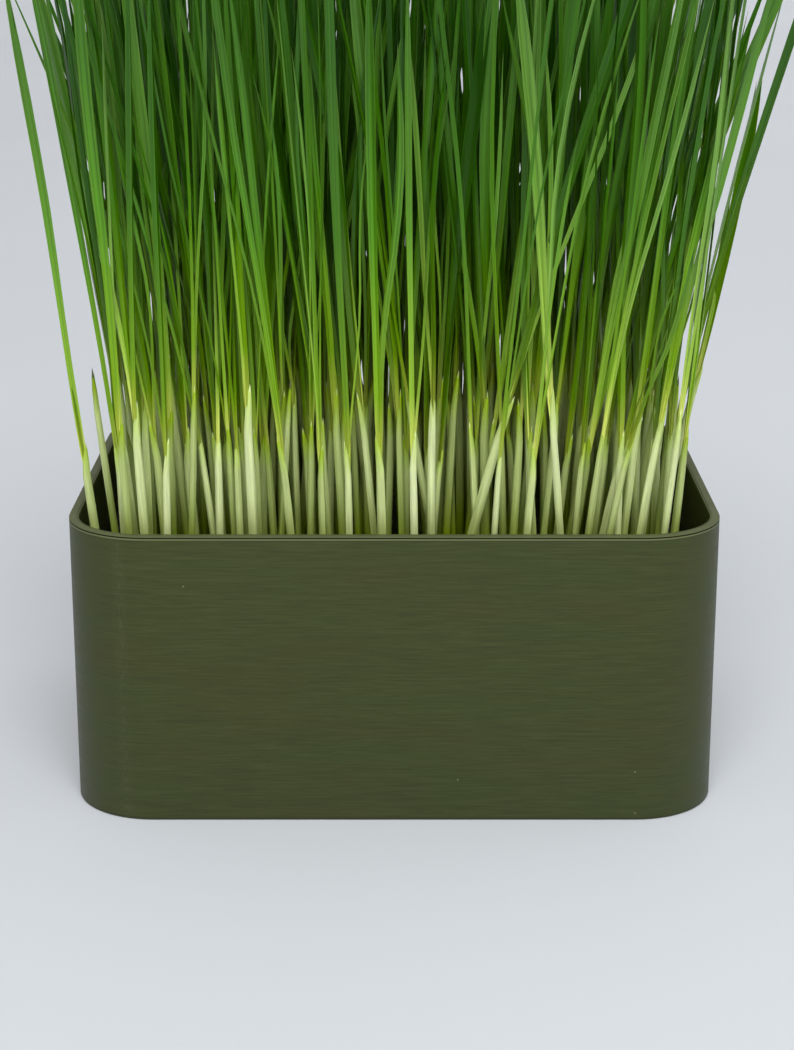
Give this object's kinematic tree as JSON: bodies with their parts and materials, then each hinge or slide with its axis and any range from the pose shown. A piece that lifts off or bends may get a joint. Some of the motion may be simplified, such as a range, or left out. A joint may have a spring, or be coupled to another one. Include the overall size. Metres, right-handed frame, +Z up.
{
  "type": "potted cat grass",
  "caption": "Dense tuft of upright grass seedlings, pale sheathed at the base, growing in a plain rectangular tray with rounded corners.",
  "frame": {"origin": "centre of the tray's underside, on the surface that it stands on", "axes": "+Z up along the grass, +X to the right along the tray's long side, +Y to the back, so the front face looks along -Y"},
  "size_m": [0.2077, 0.1456, 0.2438],
  "materials": {
    "tray": "printed in fine level layers, dark olive green, satin",
    "mix": "moist dark fibrous growing mix",
    "grass": "fresh green leaf with fine lengthwise veins, over pale sheaths"
  },
  "bodies": {
    "root": {"planter": "tray", "growing_mix": "mix", "grass_tuft_01": "grass", "grass_tuft_02": "grass", "grass_tuft_03": "grass", "grass_tuft_04": "grass", "grass_tuft_05": "grass", "grass_tuft_06": "grass", "grass_tuft_07": "grass", "grass_tuft_08": "grass", "grass_tuft_09": "grass", "grass_tuft_10": "grass", "grass_tuft_11": "grass", "grass_tuft_12": "grass", "grass_tuft_13": "grass", "grass_tuft_14": "grass", "grass_tuft_15": "grass", "grass_tuft_16": "grass", "grass_tuft_17": "grass", "grass_tuft_18": "grass", "grass_tuft_19": "grass", "grass_tuft_20": "grass", "grass_tuft_21": "grass", "grass_tuft_22": "grass", "grass_tuft_23": "grass", "grass_tuft_24": "grass"}
  },
  "joints": []
}
